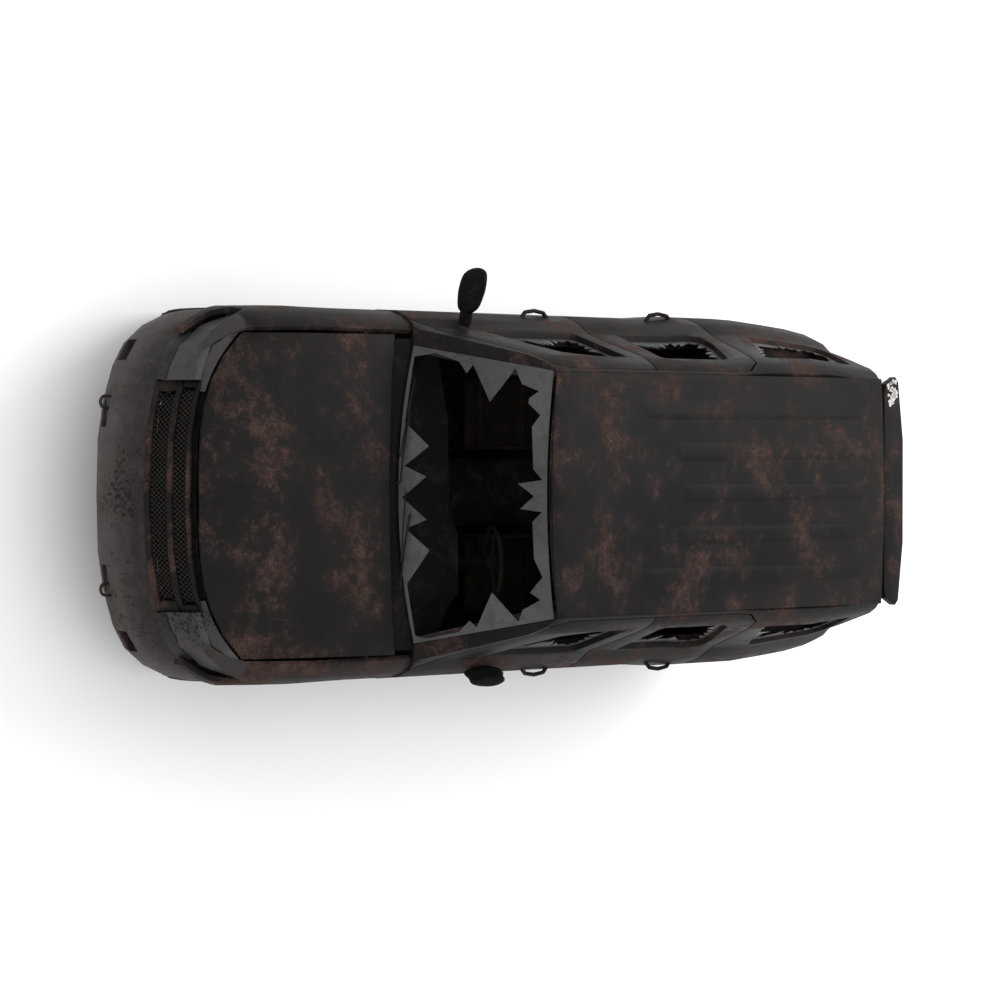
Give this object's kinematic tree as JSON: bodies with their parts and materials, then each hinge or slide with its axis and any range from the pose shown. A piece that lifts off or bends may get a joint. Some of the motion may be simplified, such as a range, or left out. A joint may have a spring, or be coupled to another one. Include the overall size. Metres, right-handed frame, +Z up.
{
  "type": "burnt-out off-road estate car",
  "caption": "Burnt-out, rusted full-size five-door off-road estate car on its wheels, with ragged glass, opening doors, hood and liftgate, steering and a bare charred cabin.",
  "frame": {"origin": "on the ground under the middle of the car's overall box; the car's own middle plane is at X 0.085 because only the right door mirror still stands out", "axes": "+X to the car's left, +Y to its rear, +Z up"},
  "size_m": [2.3098, 5.128, 1.89],
  "materials": {
    "burnt_paint": "burnt to charcoal with rust blooms",
    "ash_plastic": "scorched, dusty grey with black patches",
    "frame_black": "sooty black steel",
    "bare_steel": "dull grey steel with rust",
    "char": "charred black",
    "burnt_tyre": "charred rubber",
    "dull_glass": "smoked and dusty",
    "dull_lens": "burnt grey lens",
    "verdigris": "teal verdigris"
  },
  "bodies": {
    "shell_and_frame": {"frame": "frame_black", "frame_front": "frame_black", "frame_rear": "frame_black", "floor_pan": "char", "body_side_L": "burnt_paint", "body_side_R": "burnt_paint", "roof": "burnt_paint", "cowl": "char", "windscreen": "dull_glass", "fender_L": "burnt_paint", "fender_R": "burnt_paint", "front_bumper": "ash_plastic", "grille": "ash_plastic", "headlamp_L": "dull_lens", "headlamp_R": "dull_lens", "rear_bumper": "ash_plastic", "dashboard": "char", "steering_column": "char", "seat_L": "char", "seat_R": "char", "rear_seat": "char", "engine": "bare_steel", "gearbox": "bare_steel", "radiator": "char", "propshaft": "bare_steel", "rear_axle": "bare_steel", "exhaust": "bare_steel", "fuel_tank": "char", "running_board_L": "ash_plastic", "running_board_R": "ash_plastic", "lower_arm_L": "bare_steel", "lower_arm_R": "bare_steel"},
    "hood": {"hood": "burnt_paint"},
    "liftgate": {"liftgate": "burnt_paint", "rear_glass": "dull_glass", "trim_bar": "verdigris"},
    "front_door_L": {"front_door_L": "burnt_paint", "mirror_L": "char"},
    "front_door_R": {"front_door_R": "burnt_paint", "mirror_R": "char"},
    "rear_door_L": {"rear_door_L": "burnt_paint"},
    "rear_door_R": {"rear_door_R": "burnt_paint"},
    "steering_wheel": {"steering_wheel": "char"},
    "knuckle_L": {"knuckle_L": "bare_steel"},
    "knuckle_R": {"knuckle_R": "bare_steel"},
    "front_wheel_L": {"front_tyre_L": "burnt_tyre", "front_rim_L": "bare_steel"},
    "front_wheel_R": {"front_tyre_R": "burnt_tyre", "front_rim_R": "bare_steel"},
    "rear_wheel_L": {"rear_tyre_L": "burnt_tyre", "rear_rim_L": "bare_steel"},
    "rear_wheel_R": {"rear_tyre_R": "burnt_tyre", "rear_rim_R": "bare_steel"}
  },
  "joints": [
    {"name": "hood_hinge", "type": "hinge", "parent": "shell_and_frame", "child": "hood", "pos_m": [0.085, -1.118, 1.22], "axis": [-1, 0, 0], "range_deg": [0, 55]},
    {"name": "liftgate_hinge", "type": "hinge", "parent": "shell_and_frame", "child": "liftgate", "pos_m": [0.085, 2.12, 1.846], "axis": [1, 0, 0], "range_deg": [0, 75]},
    {"name": "front_door_hinge_L", "type": "hinge", "parent": "shell_and_frame", "child": "front_door_L", "pos_m": [1.086, -0.981, 0.85], "axis": [0, 0, -1], "range_deg": [0, 65]},
    {"name": "rear_door_hinge_L", "type": "hinge", "parent": "shell_and_frame", "child": "rear_door_L", "pos_m": [1.086, 0.262, 0.85], "axis": [0, 0, -1], "range_deg": [0, 65]},
    {"name": "front_door_hinge_R", "type": "hinge", "parent": "shell_and_frame", "child": "front_door_R", "pos_m": [-0.916, -0.981, 0.85], "axis": [0, 0, 1], "range_deg": [0, 65]},
    {"name": "rear_door_hinge_R", "type": "hinge", "parent": "shell_and_frame", "child": "rear_door_R", "pos_m": [-0.916, 0.262, 0.85], "axis": [0, 0, 1], "range_deg": [0, 65]},
    {"name": "kingpin_L", "type": "hinge", "parent": "shell_and_frame", "child": "knuckle_L", "pos_m": [0.885, -1.575, 0.402], "axis": [0, 0, 1], "range_deg": [-28, 28]},
    {"name": "kingpin_R", "type": "hinge", "parent": "shell_and_frame", "child": "knuckle_R", "pos_m": [-0.715, -1.575, 0.402], "axis": [0, 0, 1], "range_deg": [-28, 28]},
    {"name": "steering_wheel_turn", "type": "hinge", "parent": "shell_and_frame", "child": "steering_wheel", "pos_m": [0.47, -0.285, 1.075], "axis": [0, 0.8829, 0.4695], "range_deg": [-392, 392]},
    {"name": "front_wheel_spin_L", "type": "hinge", "parent": "knuckle_L", "child": "front_wheel_L", "pos_m": [0.952, -1.575, 0.402], "axis": [1, 0, 0], "continuous": true},
    {"name": "rear_wheel_spin_L", "type": "hinge", "parent": "shell_and_frame", "child": "rear_wheel_L", "pos_m": [0.941, 1.371, 0.402], "axis": [1, 0, 0], "continuous": true},
    {"name": "front_wheel_spin_R", "type": "hinge", "parent": "knuckle_R", "child": "front_wheel_R", "pos_m": [-0.782, -1.575, 0.402], "axis": [1, 0, 0], "continuous": true},
    {"name": "rear_wheel_spin_R", "type": "hinge", "parent": "shell_and_frame", "child": "rear_wheel_R", "pos_m": [-0.771, 1.371, 0.402], "axis": [1, 0, 0], "continuous": true}
  ],
  "couplings": [
    {"joint": "kingpin_R", "follows": "kingpin_L", "ratio": 1},
    {"joint": "steering_wheel_turn", "follows": "kingpin_L", "ratio": 14}
  ]
}
